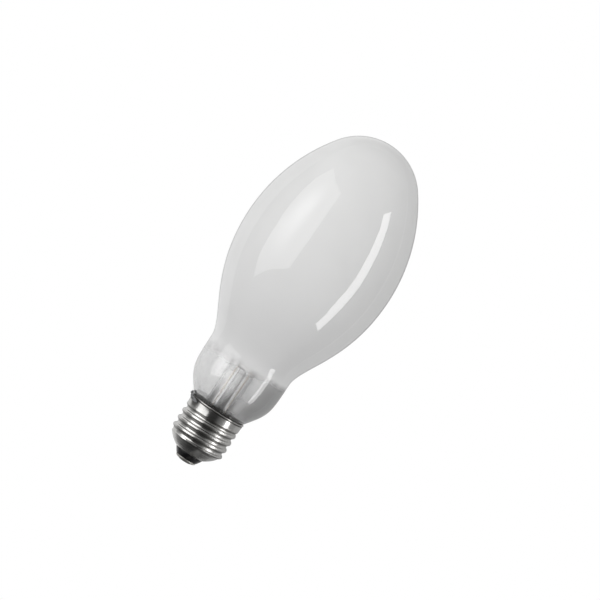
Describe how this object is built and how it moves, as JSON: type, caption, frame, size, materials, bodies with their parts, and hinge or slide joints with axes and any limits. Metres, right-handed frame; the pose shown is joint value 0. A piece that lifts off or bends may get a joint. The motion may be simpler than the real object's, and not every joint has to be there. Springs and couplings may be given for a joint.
{
  "type": "high pressure sodium lamp",
  "caption": "Egg-shaped discharge lamp with a white-coated outer bulb, a clear neck that shows the glass stem, a ceramic arc tube on a wire frame inside, and a threaded metal cap with a black insulator.",
  "frame": {"origin": "lowest point of the centre contact, on the lamp's axis", "axes": "+Z along the lamp's axis from the cap to the tip of the bulb; the side solder lies at 210 degrees from +X, to the left and front"},
  "size_m": [0.0726, 0.0726, 0.1644],
  "materials": {
    "bulb_glass": "glossy glass, pearly white powder coating inside, clear at the neck",
    "clear_glass": "clear lead-free stem glass",
    "nickel_plate": "nickel-plated brass sheet, polished, with fine rolling marks",
    "insulator_glass": "black fused glass",
    "contact_metal": "nickel-plated brass, satin",
    "solder": "solder, dull silver",
    "cement": "baked capping cement",
    "lead_wire": "copper-sheathed nickel steel wire",
    "frame_wire": "nickel-plated steel wire",
    "spring_strip": "bright nickel steel strip",
    "alumina": "translucent sintered alumina",
    "seal_frit": "fused sealing frit",
    "niobium": "drawn niobium tube",
    "tungsten": "tungsten rod and coil with emitter",
    "getter_steel": "pressed steel channel"
  },
  "bodies": {
    "root": {"outer_bulb": "bulb_glass", "stem": "clear_glass", "exhaust_tube": "clear_glass", "cap_shell": "nickel_plate", "cap_insulator": "insulator_glass", "centre_contact": "contact_metal", "centre_solder": "solder", "side_solder": "solder", "cap_cement": "cement", "centre_lead": "lead_wire", "side_lead": "lead_wire", "short_post": "frame_wire", "frame_rod": "frame_wire", "dome_spring": "spring_strip", "lower_strap": "spring_strip", "upper_strap": "spring_strip", "arc_tube": "alumina", "lower_plug": "alumina", "upper_plug": "alumina", "lower_seal_ring": "seal_frit", "upper_seal_ring": "seal_frit", "lower_feedthrough": "niobium", "upper_feedthrough": "niobium", "lower_electrode": "tungsten", "upper_electrode": "tungsten", "getter_ring_a": "getter_steel", "getter_ring_b": "getter_steel"}
  },
  "joints": []
}
